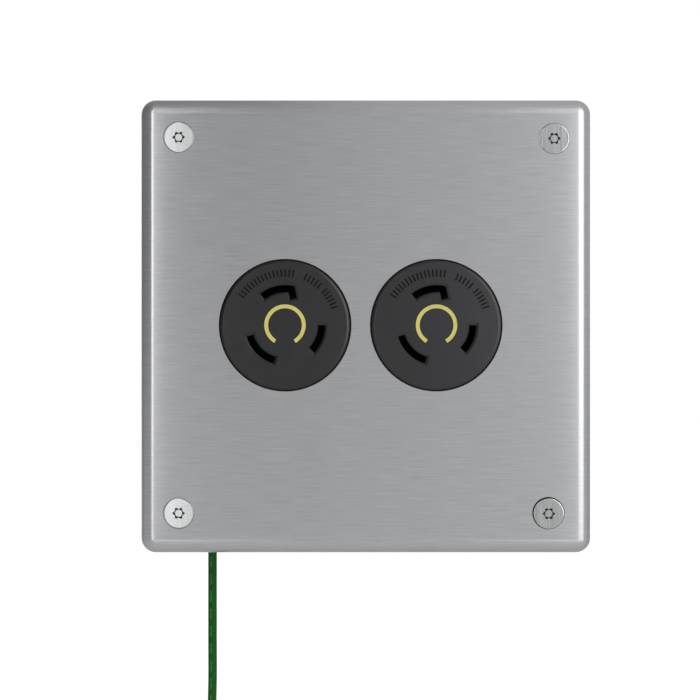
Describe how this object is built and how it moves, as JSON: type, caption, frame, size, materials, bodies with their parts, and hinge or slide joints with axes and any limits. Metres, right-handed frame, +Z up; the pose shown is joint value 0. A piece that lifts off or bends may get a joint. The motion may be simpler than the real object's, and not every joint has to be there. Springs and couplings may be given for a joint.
{
  "type": "locking receptacle box",
  "caption": "Nearly square stainless surface box with round locking receptacles in its lift-off cover, countersunk security screws and a green bonding lead below.",
  "frame": {"origin": "centre of the back face, where the box meets the wall", "axes": "+Z up, +X to the right as seen from the front, the front faces -Y and the back face looks along +Y"},
  "size_m": [0.138, 0.0652, 0.3032],
  "materials": {
    "brushed_stainless": "brushed",
    "satin_stainless": "satin",
    "screw_steel": "machined",
    "zinc_steel": "zinc plated",
    "green_steel": "green plated",
    "brass": "satin",
    "tinned_copper": "tin plated",
    "black_nylon": "fine texture",
    "grey_nylon": "fine texture",
    "yellow_inlay": "satin",
    "foam": "closed cell",
    "black_vinyl": "extruded",
    "white_vinyl": "extruded",
    "green_vinyl": "extruded"
  },
  "bodies": {
    "box": {"back_box": "satin_stainless", "rear_entry_bushing": "black_nylon", "lead_bushing": "black_nylon", "rivet_nut_top_left": "zinc_steel", "rivet_nut_top_right": "zinc_steel", "rivet_nut_bottom_left": "zinc_steel", "rivet_nut_bottom_right": "zinc_steel", "ground_lead_lug": "tinned_copper", "bond_lead_inner_lug": "tinned_copper", "ground_stud_washer": "zinc_steel", "ground_stud_nut": "green_steel", "bond_lead_inner": "green_vinyl", "bond_lead": "green_vinyl", "bond_lead_outer_lug": "tinned_copper"},
    "cover": {"front_cover": "brushed_stainless", "cover_gasket": "foam", "receptacle_left_face": "black_nylon", "receptacle_left_ring_inlay": "yellow_inlay", "receptacle_left_strap": "zinc_steel", "receptacle_left_housing": "grey_nylon", "receptacle_left_line_contact": "brass", "receptacle_left_line_clamp": "brass", "receptacle_left_line_screw": "brass", "receptacle_left_neutral_contact": "brass", "receptacle_left_neutral_clamp": "brass", "receptacle_left_neutral_screw": "zinc_steel", "receptacle_left_ground_contact": "brass", "receptacle_left_ground_clamp": "brass", "receptacle_left_ground_screw": "green_steel", "receptacle_left_upper_housing_screw": "zinc_steel", "receptacle_left_upper_strap_nut": "zinc_steel", "receptacle_left_lower_housing_screw": "zinc_steel", "receptacle_left_lower_strap_nut": "zinc_steel", "receptacle_right_face": "black_nylon", "receptacle_right_ring_inlay": "yellow_inlay", "receptacle_right_strap": "zinc_steel", "receptacle_right_housing": "grey_nylon", "receptacle_right_line_contact": "brass", "receptacle_right_line_clamp": "brass", "receptacle_right_line_screw": "brass", "receptacle_right_neutral_contact": "brass", "receptacle_right_neutral_clamp": "brass", "receptacle_right_neutral_screw": "zinc_steel", "receptacle_right_ground_contact": "brass", "receptacle_right_ground_clamp": "brass", "receptacle_right_ground_screw": "green_steel", "receptacle_right_upper_housing_screw": "zinc_steel", "receptacle_right_upper_strap_nut": "zinc_steel", "receptacle_right_lower_housing_screw": "zinc_steel", "receptacle_right_lower_strap_nut": "zinc_steel", "line_jumper": "black_vinyl", "neutral_jumper": "white_vinyl", "ground_jumper": "green_vinyl", "ground_lead": "green_vinyl"},
    "screw_top_left": {"cover_screw_top_left": "screw_steel"},
    "screw_top_right": {"cover_screw_top_right": "screw_steel"},
    "screw_bottom_left": {"cover_screw_bottom_left": "screw_steel"},
    "screw_bottom_right": {"cover_screw_bottom_right": "screw_steel"}
  },
  "joints": [
    {"name": "cover_pull", "type": "slide", "parent": "box", "child": "cover", "axis": [0, -1, 0], "range_m": [0, 0.06]},
    {"name": "screw_turn_top_left", "type": "hinge", "parent": "cover", "child": "screw_top_left", "pos_m": [-0.0571, -0.064, 0.0576], "axis": [0, -1, 0], "continuous": true},
    {"name": "screw_turn_top_right", "type": "hinge", "parent": "cover", "child": "screw_top_right", "pos_m": [0.05735, -0.064, 0.0572], "axis": [0, -1, 0], "continuous": true},
    {"name": "screw_turn_bottom_left", "type": "hinge", "parent": "cover", "child": "screw_bottom_left", "pos_m": [-0.0571, -0.064, -0.057], "axis": [0, -1, 0], "continuous": true},
    {"name": "screw_turn_bottom_right", "type": "hinge", "parent": "cover", "child": "screw_bottom_right", "pos_m": [0.0557, -0.064, -0.0571], "axis": [0, -1, 0], "continuous": true}
  ]
}
